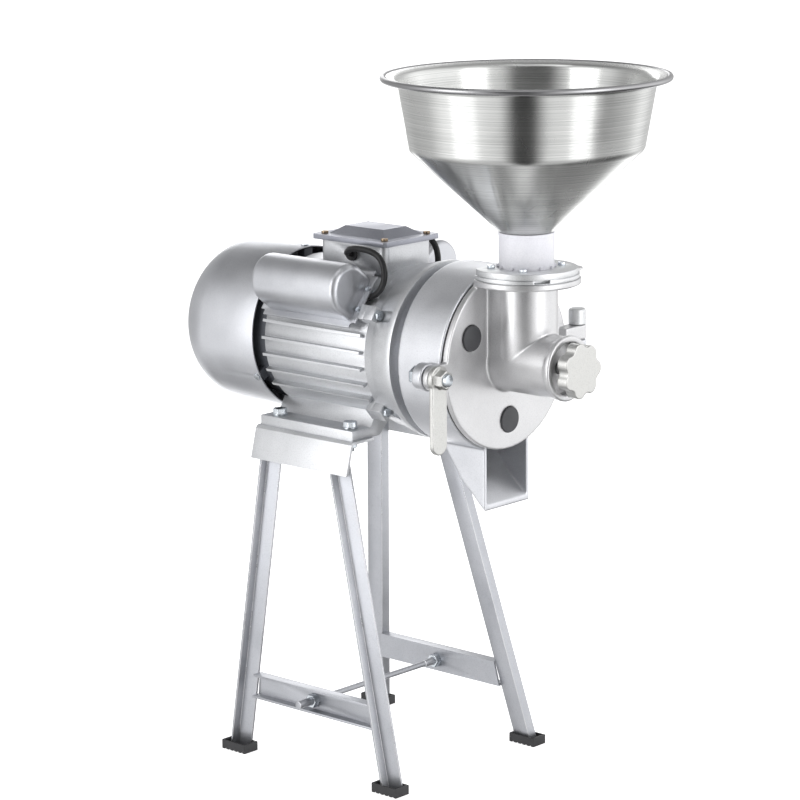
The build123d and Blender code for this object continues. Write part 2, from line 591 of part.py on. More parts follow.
# ================================================================ feed cover
flange_top = flange_z + flange_thick
stack_back = cover_x0 + 0.5      # the flange and gate stop flush behind the cover
front_of_drum = block(stack_back, 400, -200, 200, -200, 200)
cover = rod_x(cover_r, cover_x0, cover_x1)
cover -= block(cover_x0, cover_x1, -flange_r, flange_r, flange_top, cover_r + 1)
cover += block(cover_x1 - 2, feed_x, -pipe_r + 1, pipe_r - 1, 0, flange_z)
cover += rod_z(pipe_r, 0, flange_z, feed_x, 0) & front_of_drum
cover += rod_x(nose_r, cover_x1 - 2, nose_x)
cover += ring_x(nose_r + 1.5, nose_r - 1, nose_x - 6, nose_x)
cover += rod_z(flange_r, flange_z, flange_top, feed_x, 0) & front_of_drum
cover += block(cover_x0, cover_x1, clamp_y, -cover_r + 6, clamp_z - ear_r, clamp_z + ear_r)
cover += rod_x(ear_r, cover_x0, cover_x1, clamp_y, clamp_z)
lug_half_x = knuckle_r - body_gap
for z0, z1 in ((drum_lug_half + body_gap, cover_lug_top), (-cover_lug_top, -drum_lug_half - body_gap)):
    cover += block(cover_x0, hinge_x + lug_half_x, cover_r - 12, hinge_y, z0, z1)
    cover += rod_z(knuckle_r, z0, z1, hinge_x, hinge_y)
cover -= rod_z(hinge_pin_r + fit_gap, -40, 40, hinge_x, hinge_y)
cover -= rod_x(clamp_bolt_r + 1.0, cover_x0 - 1, cover_x1 + 1, clamp_y, clamp_z)
cover -= rod_x(nose_bore, cover_x0 - 1, nose_wall_x)
cover -= rod_z(pipe_bore, 0, flange_top + 1, feed_x, 0)
cover -= rod_x(nose_bore, nose_wall_x + nose_wall, nose_x + 1)
cover -= rod_x(spindle_r + fit_gap, nose_wall_x - 1, nose_x)
for y, z in plug_at:
    cover -= rod_x(3.2, cover_x0 - 1, cover_x1, y, z) + rod_x(plug_r, cover_x1 - 3, cover_x1 + 1, y, z)
    cover -= rod_x(6.2, cover_x0 + 2, cover_x1, y, z)
save("front_cover", cover)
plug_proud = 2.0
save("cover_plugs", *[rod_x(plug_r, cover_x1 - 3, cover_x1 + plug_proud, y, z) for y, z in plug_at])
gasket_x0 = drum_x1 + 0.4
save("cover_gasket", ring_x(drum_r - 2, drum_r - drum_wall + 1, gasket_x0, cover_x0))

hinge_pin = rod_z(hinge_pin_r, -cover_lug_top - 8, cover_lug_top + 2, hinge_x, hinge_y)
hinge_cap = rod_z(knuckle_r, cover_lug_top + body_gap, cover_lug_top + 17, hinge_x, hinge_y)
hinge_cap = fillet(hinge_cap.edges().group_by(Axis.Z)[-1], 3)
hinge_nut = hex_z(14, -cover_lug_top - 6, -cover_lug_top - body_gap, hinge_x, hinge_y)
hinge_nut -= rod_z(hinge_pin_r, -40, 0, hinge_x, hinge_y)
save("hinge_pin", hinge_pin + hinge_cap, hinge_nut)

# ================================================================ gate, neck and hopper
guide_top = flange_top + guide_thick
plate_top = guide_top + top_plate_thick
guide = rod_z(flange_r - 1.5, flange_top, guide_top, feed_x, 0)
gate_side = gate_half + body_gap
guide -= block(feed_x - gate_side, feed_x + gate_side, -gate_side, flange_r + 1, flange_top, guide_top)
guide -= Pos(feed_x, 0, 0) * Rot(0, 0, -123) * block(-8, 8, flange_r - 9, flange_r, flange_top + 1, guide_top)
guide &= front_of_drum
save("gate_guide", guide)
gate_z0 = flange_top + (guide_thick - gate_thick) / 2
gate = block(feed_x - gate_half, feed_x + gate_half, -gate_half, gate_reach - 20, gate_z0, gate_z0 + gate_thick)
gate += block(feed_x - 22, feed_x + 22, gate_reach - 30, gate_reach, gate_z0, gate_z0 + gate_thick)
tab_edges = gate.edges().filter_by(Axis.Z).group_by(Axis.Y)[-1]
gate = fillet(tab_edges, 14)
save("slide_gate", gate)
top_plate = ring_z(top_plate_r, neck_r, guide_top, plate_top, feed_x, 0) & front_of_drum
spots = [polar(flange_screw_r, angle) for angle in flange_screw_angles]
flange_screw_at = [(feed_x + x, y) for x, y in spots]
for x, y in flange_screw_at:
    top_plate -= rod_z(2.5, guide_top, plate_top, x, y)
save("gate_top_plate", top_plate)
screws = [rod_z(2.5, guide_top + 1, plate_top, x, y) + hex_z(7, plate_top, plate_top + 3, x, y)
          for x, y in flange_screw_at]
save("flange_screws", *screws)

neck = ring_z(neck_r, neck_bore, guide_top + 1, neck_top, feed_x, 0)
for k in range(12):
    pip = Pos(feed_x, 0, 0) * Rot(0, 0, 30 * k + 10) * block(neck_r - 1, neck_r + 2.5, -1.2, 1.2, plate_top, plate_top + 3)
    neck += pip
save("hopper_neck", neck)

sleeve_r = neck_bore - 0.2
sheet = hopper_sheet
roll_z = bowl_z1 + rim_roll
hopper = spun([
    (sleeve_r, neck_top - 20), (sleeve_r, neck_top), (neck_r - 0.5, neck_top), (bowl_r0, bowl_z0),
    (bowl_r1, bowl_z1), (rim_r, bowl_z1 + 1), (rim_r, bowl_z1 + 1 + sheet), (bowl_r1 - sheet, bowl_z1 + sheet),
    (bowl_r0 - sheet, bowl_z0 + sheet), (neck_r - 0.5 - sheet, neck_top + sheet),
    (sleeve_r - sheet, neck_top), (sleeve_r - sheet, neck_top - 20),
], feed_x)
hopper += Pos(feed_x, 0, bowl_z1) * Torus(rim_r, rim_roll)
save("hopper", hopper)

# ================================================================ clamp
bolt_head_x = drum_x1 - clamp_lug
lever_x0 = cover_x1 + body_gap
lever_x1 = lever_x0 + lever_thick
nut_x1 = lever_x1 + 9
clamp_bolt = rod_x(clamp_bolt_r, bolt_head_x, nut_x1 + 3, clamp_y, clamp_z)
clamp_bolt += hex_x(17, bolt_head_x - 8, bolt_head_x, clamp_y, clamp_z)
save("clamp_bolt", clamp_bolt)
lever = rod_x(13, lever_x0, lever_x1, clamp_y, clamp_z)
lever_end = clamp_z - lever_drop + lever_wide / 2
lever += block(lever_x0, lever_x1, clamp_y - lever_wide / 2, clamp_y + lever_wide / 2, lever_end, clamp_z)
lever += rod_x(lever_wide / 2, lever_x0, lever_x1, clamp_y, lever_end)
lever += hex_x(17, lever_x1, nut_x1, clamp_y, clamp_z)
lever -= rod_x(clamp_bolt_r + fit_gap, lever_x0 - 1, nut_x1 + 1, clamp_y, clamp_z)
save("clamp_lever", lever)

# ================================================================ adjuster
spindle = rod_x(spindle_r, pin_tip_x + 14, knob_x0 + 4)
save("adjusting_spindle", spindle)
knob = rod_x(knob_r - 3, knob_x0, knob_x1)
for k in range(knob_lobes):
    y, z = polar(knob_r - 8, 360 * k / knob_lobes)
    knob += rod_x(8.5, knob_x0, knob_x1, y, z)
    y, z = polar(knob_r + 2.5, 360 * (k + 0.5) / knob_lobes)
    knob -= rod_x(6.5, knob_x0 - 1, knob_x1 + 1, y, z)
knob += rod_x(13, knob_x0 - 8, knob_x0)
knob -= rod_x(spindle_r, knob_x0 - 9, knob_x0 + 4)
save("star_knob", knob)
thrust = rod_x(pin_r, pin_tip_x, pin_tip_x + 14)
save("thrust_pin", thrust)

# ================================================================ stand
bracket_top = feet_z
bracket_low = feet_z - bracket_thick


def bracket(side):
    """Bent sheet under one motor foot: a flat seat and an apron that leans out."""
    apron_top, apron_low = bracket_out, bracket_out + apron_lean
    outline = [
        (bracket_in, bracket_top), (bracket_out - 3, bracket_top), (bracket_out, bracket_top - 3),
        (apron_low, bracket_top - apron_drop), (apron_low - bracket_thick, bracket_top - apron_drop),
        (bracket_out - bracket_thick, bracket_low), (bracket_in, bracket_low),
    ]
    sheet_part = plate_x([(side * y, z) for y, z in outline], -bracket_half_x, bracket_half_x)
    for x in (-foot_bolt_x, foot_bolt_x):
        sheet_part -= foot_hole(x, side)
    return sheet_part


def angle_section(x, y, z, face_dir, side):
    """L section in a level plane: the face runs along X, the flange runs outward."""
    t, fx, fy = angle_thick, face_dir, side
    points = [
        (x, y), (x + fx * angle_face, y), (x + fx * angle_face, y + fy * t), (x + fx * t, y + fy * t),
        (x + fx * t, y + fy * angle_flange), (x, y + fy * angle_flange),
    ]
    return make_face(Polyline(*[(px, py, z) for px, py in points], close=True))


pad_top = floor_z + pad_floor
leg_top = bracket_low - leg_tuck


def leg(top_x, foot_x, face_dir, side):
    low = angle_section(foot_x, side * leg_foot_y, pad_top, face_dir, side)
    high = angle_section(top_x, side * leg_top_y, leg_top, face_dir, side)
    return loft([low, high])


def leg_x(top_x, foot_x, z):
    """Where a leg's corner line is at height z."""
    share = (z - pad_top) / (leg_top - pad_top)
    return foot_x + share * (top_x - foot_x)


def leg_y(z):
    share = (z - pad_top) / (leg_top - pad_top)
    return leg_foot_y + share * (leg_top_y - leg_foot_y)


tie_height = floor_z + tie_z
sides = {"near": (-1, 1, near_leg_tops, near_leg_feet), "far": (1, -1, far_leg_tops, far_leg_feet)}
feet_pads, brackets, rails = [], [], []
for name, (side, face_dir, tops, feet) in sides.items():
    brackets.append(bracket(side))
    for end, top_x, foot_x in zip(("rear", "front"), tops, feet):
        save(f"{name}_{end}_leg", leg(top_x, foot_x, face_dir, side))
    # the rail is welded between the two legs of its frame
    z0, z1 = floor_z + cross_low, floor_z + cross_high
    t = angle_thick
    ends = []
    for z in (z0, z1):
        rear_x, front_x = (leg_x(top, foot, z) for top, foot in zip(tops, feet))
        if face_dir > 0:
            ends.append((rear_x + angle_face, front_x))
        else:
            ends.append((rear_x, front_x - angle_face))
    web_y = leg_y((z0 + z1) / 2) - 3
    rail_shape = plate_y([(ends[0][0], z0), (ends[0][1], z0), (ends[1][1], z1), (ends[1][0], z1)],
                         side * web_y, side * (web_y + cross_depth))
    inside = block(-200, 300, side * (web_y + t), side * (web_y + cross_depth + 1), z0 + t, z1 - t)
    rail_shape -= inside
    rail_shape -= rod_y(tie_end_r, side * (web_y - 1), side * (web_y + t + 1), tie_x, tie_height)
    rails.append(rail_shape)
    for foot_x in (-foot_spread_x, foot_spread_x):
        cx, cy = foot_centre_x + foot_x, side * foot_spread_y
        tray = block(cx - pad_long / 2, cx + pad_long / 2, cy - pad_wide / 2, cy + pad_wide / 2,
                     floor_z, floor_z + pad_high)
        tray -= block(cx - pad_long / 2 + 3, cx + pad_long / 2 - 3, cy - pad_wide / 2 + 2,
                      cy + pad_wide / 2 - 2, pad_top, floor_z + pad_high)
        for k in range(5):
            notch_x = cx + (k - 2) * 6
            tray -= block(notch_x - 1, notch_x + 1, cy - pad_wide, cy + pad_wide, floor_z, floor_z + 1.5)
        feet_pads.append(tray)
save("foot_brackets", *brackets)
save("cross_rails", *rails)
save("rubber_feet", *feet_pads)

web_near = leg_y(floor_z + (cross_low + cross_high) / 2) - 3
tie = rod_y(tie_r, -web_near + 20, web_near - 20, tie_x, tie_height)
for side in (-1, 1):
    tie += rod_y(tie_end_r, side * (web_near - 20), side * tie_half, tie_x, tie_height)
save("tie_rod", tie)
tie_nuts = []
for side in (-1, 1):
    for y0, y1 in ((web_near - 7, web_near), (web_near + angle_thick, web_near + angle_thick + 7)):
        nut = hex_y(13, side * y0, side * y1, tie_x, tie_height)
        tie_nuts.append(nut - rod_y(tie_end_r, side * (y0 - 1), side * (y1 + 1), tie_x, tie_height))
save("tie_rod_nuts", *tie_nuts)

ledge_z = feet_z + foot_plate
foot_bolts = []
for side in (-1, 1):
    for x in (-foot_bolt_x, foot_bolt_x):
        y = side * foot_bolt_y
        bolt = rod_z(bolt_r, bracket_low - 11, ledge_z, x, y)
        bolt += rod_z(8, ledge_z, ledge_z + 1.6, x, y) + hex_z(13, ledge_z + 1.6, ledge_z + 7, x, y)
        foot_bolts.append(bolt)
        nut = hex_z(13, bracket_low - 7, bracket_low, x, y)
        foot_bolts.append(nut - rod_z(bolt_r, bracket_low - 8, bracket_low + 1, x, y))
save("motor_foot_bolts", *foot_bolts)

# ================================================================ write
os.makedirs("parts", exist_ok=True)
for name, solid in nodes.items():
    export_step(solid, f"parts/{name}.step")
print(len(nodes), "nodes written")
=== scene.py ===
# %% [markdown]
# A disc mill for grain, dressed for the camera. The imported model is the frame: each of its nodes
# already has its real size and place. This file gives every node rounded edges, casting
# softness, brushed or painted metal, a painted highlight along edges and painted shade on the
# hopper's rim and in the gap behind the fan cowl, and never moves a node.

# %% Load the frame and keep its box
import json
from math import cos, pi, radians, sin

import bmesh
import bpy
from mathutils import Matrix, Vector


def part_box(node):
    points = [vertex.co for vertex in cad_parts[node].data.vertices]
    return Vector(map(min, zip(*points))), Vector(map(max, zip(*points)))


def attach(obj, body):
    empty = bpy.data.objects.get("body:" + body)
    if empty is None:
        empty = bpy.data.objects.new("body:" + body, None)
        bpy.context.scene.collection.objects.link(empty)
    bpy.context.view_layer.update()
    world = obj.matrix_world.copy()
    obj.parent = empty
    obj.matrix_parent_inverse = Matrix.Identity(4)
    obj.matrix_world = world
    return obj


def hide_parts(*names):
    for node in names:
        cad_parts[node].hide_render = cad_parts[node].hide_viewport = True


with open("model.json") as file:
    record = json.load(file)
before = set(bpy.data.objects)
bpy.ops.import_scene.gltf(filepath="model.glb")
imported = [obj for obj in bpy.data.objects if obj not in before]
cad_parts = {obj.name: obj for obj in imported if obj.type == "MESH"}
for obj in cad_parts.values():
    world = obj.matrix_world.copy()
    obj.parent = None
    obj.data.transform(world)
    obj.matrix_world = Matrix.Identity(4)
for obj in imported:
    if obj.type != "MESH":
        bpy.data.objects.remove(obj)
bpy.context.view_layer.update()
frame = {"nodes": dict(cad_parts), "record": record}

nodes = frame["nodes"]
bodies = frame["record"]["behaviour"]["bodies"]
body_of = {node: body for body, members in bodies.items() for node in members}

# %% [markdown]
# The camera stands a little above the mill and well back, with a long lens, as for a
# catalogue picture. Looking along a direction with a tiny roll is easiest as a matrix
# built from three axes, because no angle has to be guessed.

# %% Camera
camera_place = Vector((2.1055, -2.336, 1.054))
camera_aim = Vector((-0.0548, 0.0274, 0.3713))
camera_roll = radians(-0.56)
lens_mm, sensor_mm = 141.2, 36.0

camera_data = bpy.data.cameras.new("camera")
camera_data.lens = lens_mm
camera_data.sensor_width = sensor_mm
camera_data.clip_start = 0.05
camera_data.clip_end = 60.0
camera = bpy.data.objects.new("camera", camera_data)
bpy.context.scene.collection.objects.link(camera)
look = (camera_aim - camera_place).normalized()
level_right = look.cross(Vector((0, 0, 1))).normalized()
level_up = level_right.cross(look)
right = level_right * cos(camera_roll) + level_up * sin(camera_roll)
up = right.cross(look)
turned = Matrix((right, up, -look)).transposed().to_4x4()
camera.matrix_world = Matrix.Translation(camera_place) @ turned
bpy.context.scene.camera = camera
print("camera", round((camera_aim - camera_place).length, 3), "m away")

# %% [markdown]
# Bare metal shows what stands around it, so a studio lights it with tall soft panels close
# by and leaves darker gaps between them. The room is drawn the same way: white walls with two
# dark gaps, greyer above, so that tops read darker than sides. The floor is a pale light
# table that throws light back up, but it is kept out of the reflections, because a wholly
# white floor would wash out every curved face.

# %% Floor and lights
floor_half = 40.0


def flat_square(name, half, z):
    mesh = bpy.data.meshes.new(name)
    corners = [(-half, -half, z), (half, -half, z), (half, half, z), (-half, half, z)]
    mesh.from_pydata(corners, [], [(0, 1, 2, 3)])
    square = bpy.data.objects.new(name, mesh)
    bpy.context.scene.collection.objects.link(square)
    return square


floor = flat_square("floor", floor_half, -0.0002)
floor.visible_glossy = False


def soft_panel(name, place, aim, wide, high, watts):
    """One large area light that looks at a point."""
    data = bpy.data.lights.new(name, "AREA")
    data.shape = "RECTANGLE"
    data.size, data.size_y, data.energy = wide, high, watts
    lamp = bpy.data.objects.new(name, data)
    lamp.visible_camera = False
    bpy.context.scene.collection.objects.link(lamp)
    lamp.location = place
    lamp.rotation_euler = (Vector(aim) - Vector(place)).to_track_quat("-Z", "Y").to_euler()
    return lamp


mill_middle = (0.0, 0.0, 0.50)
soft_panel("left_panel", (-0.35, -1.45, 0.75), mill_middle, 0.75, 1.5, 7)
soft_panel("right_panel", (1.55, 0.05, 0.75), mill_middle, 0.60, 1.5, 5.5)
soft_panel("top_panel", (0.3, -0.6, 2.4), mill_middle, 1.2, 1.2, 4)
soft_panel("back_panel", (-1.5, 1.3, 0.9), mill_middle, 0.8, 1.4, 6)

world = bpy.data.worlds.new("studio")
bpy.context.scene.world = world
world.use_nodes = True
sky = world.node_tree


def sky_ramp(factor, stops):
    """A grey scale along one factor, from (position, grey) stops."""
    ramp = sky.nodes.new("ShaderNodeValToRGB")
    sky.links.new(factor, ramp.inputs["Fac"])
    marks = ramp.color_ramp.elements
    while len(marks) < len(stops):
        marks.new(0.5)
    for mark, (position, grey) in zip(marks, stops):
        mark.position = position
        mark.color = (grey, grey, grey, 1)
    return ramp.outputs["Color"]


sky_way = sky.nodes.new("ShaderNodeTexCoord")
round_about = sky.nodes.new("ShaderNodeTexGradient")
round_about.gradient_type = "RADIAL"
sky.links.new(sky_way.outputs["Generated"], round_about.inputs["Vector"])
sky_split = sky.nodes.new("ShaderNodeSeparateXYZ")
sky.links.new(sky_way.outputs["Generated"], sky_split.inputs["Vector"])
sky_height = sky.nodes.new("ShaderNodeMapRange")
sky_height.inputs["From Min"].default_value = -1.0
sky.links.new(sky_split.outputs["Z"], sky_height.inputs["Value"])
skirting = sky_ramp(round_about.outputs["Fac"], [
    (0.00, 0.55), (0.06, 0.62), (0.12, 1.10), (0.29, 1.10), (0.33, 0.06), (0.38, 0.06), (0.42, 1.10),
    (0.53, 1.00), (0.58, 0.10), (0.69, 0.10), (0.77, 0.55), (0.83, 2.20), (0.90, 2.20), (0.97, 0.55),
])
walls = sky_ramp(round_about.outputs["Fac"], [
    (0.00, 0.45), (0.08, 0.50), (0.13, 0.95), (0.24, 0.95), (0.30, 0.10), (0.39, 0.10), (0.43, 0.90),
    (0.55, 1.20), (0.72, 1.20), (0.78, 0.60), (0.97, 0.45),
])
room = sky_ramp(sky_height.outputs["Result"], [
    (0.0, 0.48), (0.18, 0.50), (0.26, 1.0), (0.60, 0.98), (0.76, 0.85), (0.90, 0.45),
])
wall_share = sky_ramp(sky_height.outputs["Result"], [(0.28, 0.0), (0.38, 1.0)])


first_colour, second_colour, mixed_colour = 6, 7, 2


def sky_blend(way, factor, first, second):
    """Mixes two greys of the room by a factor, or multiplies them."""
    mix = sky.nodes.new("ShaderNodeMix")
    mix.data_type, mix.blend_type = "RGBA", way
    mix.inputs["Factor"].default_value = 1.0
    if factor:
        sky.links.new(factor, mix.inputs["Factor"])
    sky.links.new(first, mix.inputs[first_colour])
    sky.links.new(second, mix.inputs[second_colour])
    return mix.outputs[mixed_colour]


around = sky_blend("MIX", wall_share, skirting, walls)
sky.links.new(sky_blend("MULTIPLY", None, around, room), sky.nodes["Background"].inputs["Color"])
sky.nodes["Background"].inputs["Strength"].default_value = 1.25
bpy.context.scene.view_settings.view_transform = "Standard"
print("four panels, floor", 2 * floor_half, "m across")

# %% [markdown]
# A finish is a colour that wanders a little, a roughness that wanders with it, and a bump
# at the size of the real grain. These small helpers add one such layer each, in the
# object's own metres, so a grain of half a millimetre is half a millimetre everywhere.

# %% Helpers for finishes


def start_finish(name):
    material = bpy.data.materials.new(name)
    material.use_nodes = True
    return material, material.node_tree, material.node_tree.nodes["Principled BSDF"]


def grain(tree, size, detail=3.0, stretch=(1.0, 1.0, 1.0)):
    """Noise whose blotches are about size metres across, drawn out by stretch."""
    place = tree.nodes.new("ShaderNodeTexCoord")
    scaled = tree.nodes.new("ShaderNodeMapping")
    scaled.inputs["Scale"].default_value = [1 / s for s in stretch]
    noise = tree.nodes.new("ShaderNodeTexNoise")
    noise.inputs["Scale"].default_value = 1 / size
    noise.inputs["Detail"].default_value = detail
    tree.links.new(place.outputs["Object"], scaled.inputs["Vector"])
    tree.links.new(scaled.outputs["Vector"], noise.inputs["Vector"])
    return noise.outputs["Fac"]


def between(tree, factor, low, high, start=0.35, end=0.65):
    """A number that runs from low to high as the factor runs from start to end."""
    ranged = tree.nodes.new("ShaderNodeMapRange")
    ranged.inputs["From Min"].default_value = start
    ranged.inputs["From Max"].default_value = end
    ranged.inputs["To Min"].default_value = low
    ranged.inputs["To Max"].default_value = high
    tree.links.new(factor, ranged.inputs["Value"])
    return ranged.outputs["Result"]


def shade(tree, factor, dark, light, start=0.3, end=0.7):
    """A colour between dark and light."""
    ramp = tree.nodes.new("ShaderNodeValToRGB")
    ramp.color_ramp.elements[0].position = start
    ramp.color_ramp.elements[0].color = (*dark, 1)
    ramp.color_ramp.elements[1].position = end
    ramp.color_ramp.elements[1].color = (*light, 1)
    tree.links.new(factor, ramp.inputs["Fac"])
    return ramp.outputs["Color"]


def over(tree, factor, under, top):
    """Lays one colour over another where the factor is 1."""
    mix = tree.nodes.new("ShaderNodeMix")
    mix.data_type = "RGBA"
    tree.links.new(factor, mix.inputs["Factor"])
    tree.links.new(under, mix.inputs[first_colour])
    mix.inputs[second_colour].default_value = (*top, 1)
    return mix.outputs[mixed_colour]


# Mask for the painted highlight along outer edges.
def edge_highlight_mask(tree, start=0.53, end=0.60):
    """1 along outer edges, broken up by noise, and 0 on open faces."""
    shape = tree.nodes.new("ShaderNodeNewGeometry")
    ridge = between(tree, shape.outputs["Pointiness"], 0.0, 1.0, start, end)
    broken = between(tree, grain(tree, 0.006, 5.0), 0.15, 1.0, 0.38, 0.6)
    both = tree.nodes.new("ShaderNodeMath")
    both.operation = "MULTIPLY"
    tree.links.new(ridge, both.inputs[0])
    tree.links.new(broken, both.inputs[1])
    return both.outputs["Value"]


def raise_grain(tree, shader, layers):
    """Stacks bumps: each layer is (height output, depth in metres)."""
    normal = None
    for height, depth in layers:
        bump = tree.nodes.new("ShaderNodeBump")
        bump.inputs["Strength"].default_value = 1.0
        bump.inputs["Distance"].default_value = depth
        tree.links.new(height, bump.inputs["Height"])
        if normal:
            tree.links.new(normal, bump.inputs["Normal"])
        normal = bump.outputs["Normal"]
    tree.links.new(normal, shader.inputs["Normal"])


# %% [markdown]
# Most of the mill is aluminium casting under thin silver paint: satin, with a fine
# grain, a slow wander from lighter to darker, and a painted highlight: lighter metal laid along
# edges. One function makes every such finish, with its own colour, grain size and gloss.

# %% Cast and painted metal


def silver(name, dark, light, rough, grain_size, grain_depth, metal=0.85, highlight_colour=None):
    material, tree, shader = start_finish(name)
    clouds = grain(tree, 0.045, 4.0)
    speckle = grain(tree, grain_size, 2.0)
    colour = shade(tree, clouds, dark, light)
    pits = between(tree, speckle, 0.35, 0.0, 0.30, 0.52)
    colour = over(tree, pits, colour, tuple(0.72 * c for c in dark))
    # Painted highlight: when a colour is given here, outer edges are laid lighter.
    if highlight_colour:
        colour = over(tree, edge_highlight_mask(tree), colour, highlight_colour)
    tree.links.new(colour, shader.inputs["Base Color"])
    tree.links.new(between(tree, clouds, rough - 0.05, rough + 0.06), shader.inputs["Roughness"])
    shader.inputs["Metallic"].default_value = metal
    waves = grain(tree, 0.012, 2.0)
    raise_grain(tree, shader, [(waves, 0.00012), (speckle, grain_depth)])
    return material


# A lighter grey for outer edges: painted highlight.
painted_edge_highlight = (0.80, 0.80, 0.82)
cast_silver = silver("cast_silver", (0.58, 0.59, 0.61), (0.68, 0.69, 0.71), 0.40, 0.0011, 0.00010)
sheet_silver = silver("sheet_silver", (0.53, 0.54, 0.57), (0.61, 0.62, 0.65), 0.34, 0.0007, 0.00003)
# Near black for the rear end shield, seen in the gap between fan cowl and motor barrel: painted shade of
# that gap, not the shield's own colour.
painted_gap_shade = silver("painted_gap_shade", (0.05, 0.055, 0.065), (0.09, 0.095, 0.11), 0.50, 0.0011, 0.00008, 0.4)
# Drum and cover carry the painted highlight along their edges.
drum_silver = silver("drum_silver", (0.60, 0.61, 0.64), (0.70, 0.71, 0.74), 0.38, 0.0009, 0.00006,
                     highlight_colour=painted_edge_highlight)
cover_silver = silver("cover_silver", (0.60, 0.60, 0.61), (0.70, 0.70, 0.71), 0.36, 0.0008, 0.00004,
                      highlight_colour=painted_edge_highlight)
plate_silver = silver("plate_silver", (0.66, 0.67, 0.68), (0.76, 0.77, 0.78), 0.44, 0.0009, 0.00005)
stand_silver = silver("stand_silver", (0.40, 0.41, 0.44), (0.50, 0.51, 0.54), 0.38, 0.0010, 0.00005)
bracket_silver = silver("bracket_silver", (0.66, 0.67, 0.69), (0.76, 0.77, 0.79), 0.42, 0.0010, 0.00004)
lid_silver = silver("lid_silver", (0.34, 0.35, 0.40), (0.42, 0.43, 0.48), 0.42, 0.0010, 0.00006)
# A lighter, glossier copy of cast silver for the rounds of bevelled edges: painted highlight.
painted_highlight_silver = silver("painted_highlight_silver", (0.58, 0.59, 0.61), (0.76, 0.76, 0.78), 0.30, 0.0016, 0.00003, 0.95)
print("cast and painted finishes made")

# %% [markdown]
# The hopper is spun from stainless sheet and then brushed while it turns, so its scratches
# run round it and its highlights stretch up and down it. Anisotropy, turned a quarter, does
# the stretching, and noise that reads only the height draws the scratches.

# %% Brushed, ground and plated steel


def scratches(tree, line, turned):
    """Fine lines of one height each: round the Z axis when turned, else along X."""
    place = tree.nodes.new("ShaderNodeTexCoord")
    split = tree.nodes.new("ShaderNodeSeparateXYZ")
    noise = tree.nodes.new("ShaderNodeTexNoise")
    noise.noise_dimensions = "1D"
    noise.inputs["Scale"].default_value = 1 / line
    noise.inputs["Detail"].default_value = 3.0
    tree.links.new(place.outputs["Object"], split.inputs["Vector"])
    tree.links.new(split.outputs["Z" if turned else "Y"], noise.inputs["W"])
    return noise.outputs["Fac"]


def brushed(name, dark, light, rough, line, turned=True, stretch_shine=0.0, depth=0.000006):
    material, tree, shader = start_finish(name)
    lines = scratches(tree, line, turned)
    bands = scratches(tree, line * 7, turned)
    clouds = grain(tree, 0.05, 3.0)
    colour = shade(tree, lines, dark, light, 0.3, 0.7)
    colour = over(tree, between(tree, bands, 0.0, 0.30, 0.4, 0.7), colour, tuple(0.85 * c for c in dark))
    tree.links.new(colour, shader.inputs["Base Color"])
    tree.links.new(between(tree, clouds, rough - 0.03, rough + 0.04), shader.inputs["Roughness"])
    shader.inputs["Metallic"].default_value = 1.0
    shader.inputs["Anisotropic"].default_value = stretch_shine
    shader.inputs["Anisotropic Rotation"].default_value = 0.25
    raise_grain(tree, shader, [(lines, depth)])
    return material


spun_stainless = brushed("spun_stainless", (0.58, 0.59, 0.58), (0.76, 0.76, 0.75), 0.24, 0.0012,
                         stretch_shine=0.85)
# A darker copy of the brushed stainless for the rolled rim: painted shade on the curl, which is the same
# sheet as the bowl.
rim_stainless_painted_shade = brushed("rim_stainless_painted_shade", (0.34, 0.34, 0.35), (0.46, 0.46, 0.47), 0.30, 0.0010)
sheet_stainless = brushed("sheet_stainless", (0.66, 0.66, 0.67), (0.78, 0.78, 0.79), 0.30, 0.0008, False)
ground_steel = brushed("ground_steel", (0.58, 0.58, 0.59), (0.72, 0.72, 0.72), 0.25, 0.0006, False)
nickel = silver("nickel", (0.60, 0.60, 0.585), (0.68, 0.68, 0.665), 0.36, 0.0012, 0.000004, 1.0)
zinc = silver("zinc", (0.56, 0.61, 0.66), (0.74, 0.77, 0.80), 0.24, 0.0016, 0.00003, 1.0)
brass = silver("brass", (0.34, 0.25, 0.17), (0.50, 0.39, 0.27), 0.36, 0.0012, 0.00003, 1.0)
lamination = brushed("lamination", (0.28, 0.29, 0.31), (0.42, 0.43, 0.45), 0.45, 0.0006, False)
copper = silver("copper", (0.40, 0.17, 0.09), (0.62, 0.30, 0.16), 0.38, 0.0010, 0.00006, 0.9)
iron = silver("iron", (0.14, 0.14, 0.145), (0.24, 0.24, 0.25), 0.5, 0.0014, 0.00014, 0.8)
print("steel finishes made")

# %% [markdown]
# Plastic and rubber are not metal: their colour lies under a soft gloss. Rubber is nearly
# black with a dusty bloom and a coarse skin, and the neck's white plastic is smooth.

# %% Plastic and rubber


def moulded(name, dark, light, rough, grain_size, depth, glow=0.0):
    material, tree, shader = start_finish(name)
    clouds = grain(tree, 0.02, 4.0)
    skin = grain(tree, grain_size, 3.0)
    colour = shade(tree, clouds, dark, light)
    colour = over(tree, between(tree, skin, 0.25, 0.0, 0.35, 0.55), colour, tuple(0.8 * c for c in dark))
    tree.links.new(colour, shader.inputs["Base Color"])
    tree.links.new(between(tree, clouds, rough - 0.06, rough + 0.08), shader.inputs["Roughness"])
    shader.inputs["Subsurface Weight"].default_value = glow
    shader.inputs["Subsurface Scale"].default_value = 0.004
    raise_grain(tree, shader, [(skin, depth)])
    return material


